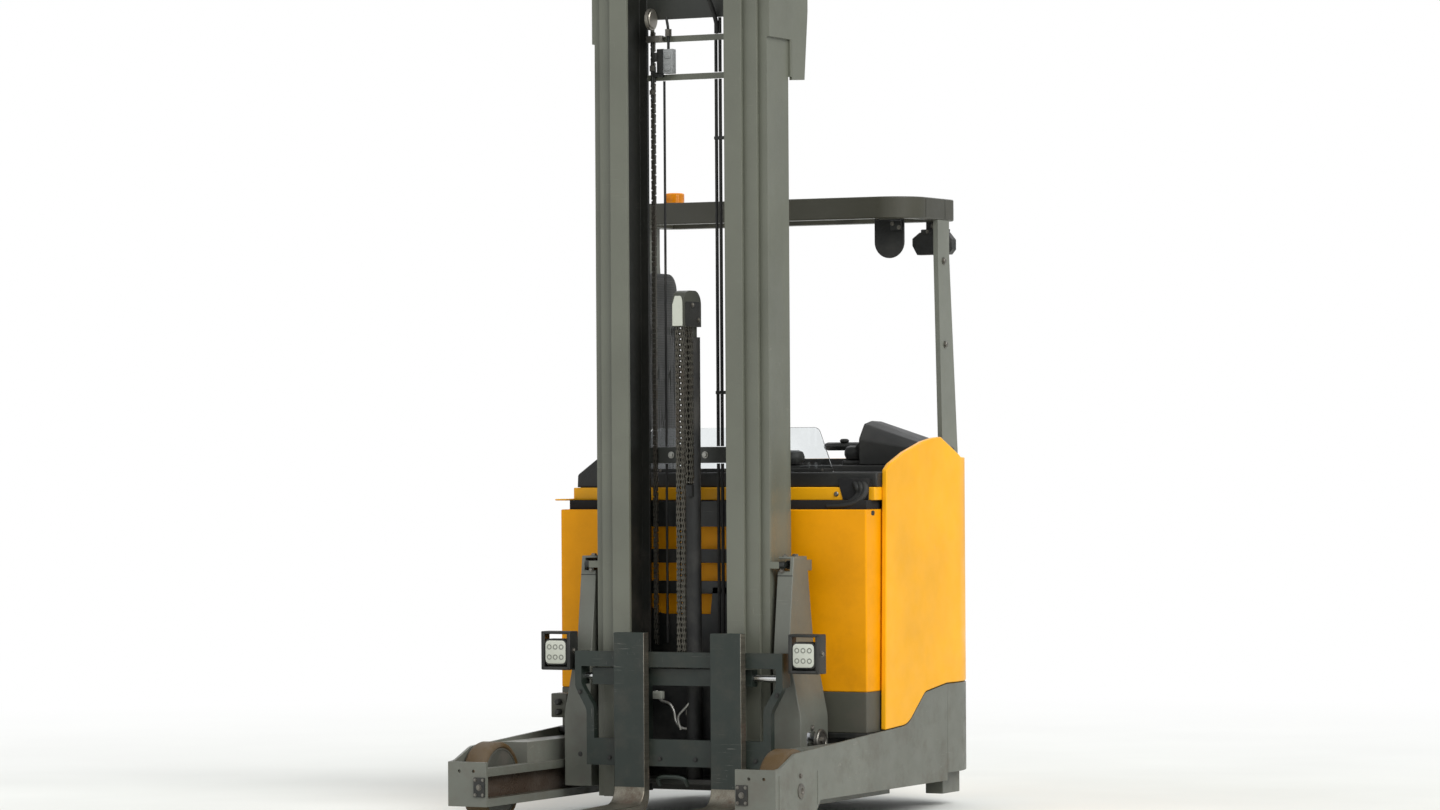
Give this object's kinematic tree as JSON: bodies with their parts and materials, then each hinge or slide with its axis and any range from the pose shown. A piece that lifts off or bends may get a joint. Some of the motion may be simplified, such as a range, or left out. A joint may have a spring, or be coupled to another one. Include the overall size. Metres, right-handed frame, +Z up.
{
  "type": "reach truck",
  "caption": "Warehouse reach truck with a triplex mast on a sliding carriage between two support arms, side-shifting forks and a covered driver's compartment.",
  "frame": {"origin": "on the floor below the middle of the truck's length and width", "axes": "+X to the right as seen by someone who stands in front of the forks, -Y towards the forks' tips, +Z up"},
  "size_m": [1.27, 2.555, 3.1],
  "materials": {
    "mast_paint": "satin",
    "frame_paint": "satin",
    "yellow_paint": "satin",
    "battery_paint": "satin",
    "black_paint": "satin",
    "carriage_paint": "satin",
    "worn_steel": "worn",
    "bright_rod": "polished",
    "black_plastic": "matte",
    "seat_cover": "matte",
    "clear_screen": "clear",
    "amber": "gloss",
    "tread": "matte",
    "chain_steel": "oiled"
  },
  "bodies": {
    "chassis": {"support_arm_right": "frame_paint", "support_arm_left": "frame_paint", "base_frame": "black_paint", "rear_skirt": "frame_paint", "stabiliser_feet": "frame_paint", "battery_case": "battery_paint", "battery": "yellow_paint", "side_panel_right": "yellow_paint", "side_panel_left": "yellow_paint", "rear_door": "yellow_paint", "bulkhead": "black_paint", "driver_floor": "black_plastic", "battery_lid": "yellow_paint", "console": "black_plastic", "instrument_hood": "black_plastic", "steering_desk": "black_plastic", "seat_base": "black_paint", "seat_cushion": "seat_cover", "backrest": "seat_cover", "screen": "clear_screen", "overhead_guard": "frame_paint", "guard_posts": "frame_paint", "guard_fittings": "black_plastic", "beacon": "amber", "reach_cylinder": "black_paint", "drive_motor": "black_paint"},
    "load_wheel_right": {"load_wheel_right": "tread"},
    "load_wheel_left": {"load_wheel_left": "tread"},
    "drive_unit": {"drive_gear": "black_paint"},
    "drive_wheel": {"drive_wheel": "tread"},
    "handwheel": {"handwheel": "black_plastic"},
    "reach_carriage": {"cheeks": "frame_paint", "carriage_frame": "frame_paint", "reach_rollers": "worn_steel", "reach_rod": "bright_rod"},
    "tilt_barrels": {"tilt_barrels": "black_paint"},
    "tilt_rods": {"tilt_rods": "black_paint"},
    "outer_mast": {"outer_mast": "mast_paint", "lift_cylinders": "black_paint"},
    "middle_mast": {"middle_mast": "mast_paint", "lift_rods": "bright_rod", "middle_rollers": "worn_steel"},
    "inner_mast": {"inner_mast": "mast_paint", "free_lift_cylinder": "black_paint", "inner_rollers": "worn_steel"},
    "free_lift_head": {"free_lift_rod": "worn_steel", "chain_sheave": "worn_steel", "lift_chain": "chain_steel"},
    "lift_carriage": {"lift_carriage": "carriage_paint", "carriage_rollers": "worn_steel"},
    "side_shift": {"shift_frame": "carriage_paint", "shift_rod": "bright_rod", "forks": "carriage_paint", "work_lamps": "black_plastic"}
  },
  "joints": [
    {"name": "load_wheel_right_turn", "type": "hinge", "parent": "chassis", "child": "load_wheel_right", "pos_m": [0.5745, -0.3375, 0.1425], "axis": [1, 0, 0], "continuous": true},
    {"name": "load_wheel_left_turn", "type": "hinge", "parent": "chassis", "child": "load_wheel_left", "pos_m": [-0.5745, -0.3375, 0.1425], "axis": [1, 0, 0], "continuous": true},
    {"name": "drive_steer", "type": "hinge", "parent": "chassis", "child": "drive_unit", "pos_m": [-0.04, 1.0625, 0.365], "axis": [0, 0, 1], "range_deg": [-90, 90]},
    {"name": "drive_wheel_turn", "type": "hinge", "parent": "drive_unit", "child": "drive_wheel", "pos_m": [-0.04, 1.0625, 0.1715], "axis": [1, 0, 0], "continuous": true},
    {"name": "handwheel_turn", "type": "hinge", "parent": "chassis", "child": "handwheel", "pos_m": [0.27, 0.8945, 1.245], "axis": [0, 0, 1], "continuous": true},
    {"name": "reach", "type": "slide", "parent": "chassis", "child": "reach_carriage", "axis": [0, -1, 0], "range_m": [0, 0.56]},
    {"name": "mast_tilt", "type": "hinge", "parent": "reach_carriage", "child": "outer_mast", "pos_m": [0, 0.1625, 0.28], "axis": [-1, 0, 0], "range_deg": [-1, 3]},
    {"name": "tilt_barrel_swing", "type": "hinge", "parent": "reach_carriage", "child": "tilt_barrels", "pos_m": [0, 0.1875, 0.9], "axis": [-1, 0, 0], "range_deg": [-1.2, 3.2]},
    {"name": "tilt_rod_stroke", "type": "slide", "parent": "tilt_barrels", "child": "tilt_rods", "axis": [0, 1, 0], "range_m": [-0.012, 0.034]},
    {"name": "middle_lift", "type": "slide", "parent": "outer_mast", "child": "middle_mast", "axis": [0, 0, 1], "range_m": [0, 2.35]},
    {"name": "inner_lift", "type": "slide", "parent": "middle_mast", "child": "inner_mast", "axis": [0, 0, 1], "range_m": [0, 2.35]},
    {"name": "carriage_lift", "type": "slide", "parent": "inner_mast", "child": "lift_carriage", "axis": [0, 0, 1], "range_m": [0, 2.2], "deforming": ["lift_chain"]},
    {"name": "free_lift", "type": "slide", "parent": "inner_mast", "child": "free_lift_head", "axis": [0, 0, 1], "range_m": [0, 1.1]},
    {"name": "side_shift", "type": "slide", "parent": "lift_carriage", "child": "side_shift", "axis": [1, 0, 0], "range_m": [-0.098, 0.026]}
  ],
  "couplings": [
    {"joint": "tilt_barrel_swing", "follows": "mast_tilt", "ratio": 0.88},
    {"joint": "tilt_rod_stroke", "follows": "mast_tilt", "m_per_rad": 0.62},
    {"joint": "inner_lift", "follows": "middle_lift", "ratio": 1},
    {"joint": "free_lift", "follows": "carriage_lift", "ratio": 0.5}
  ]
}
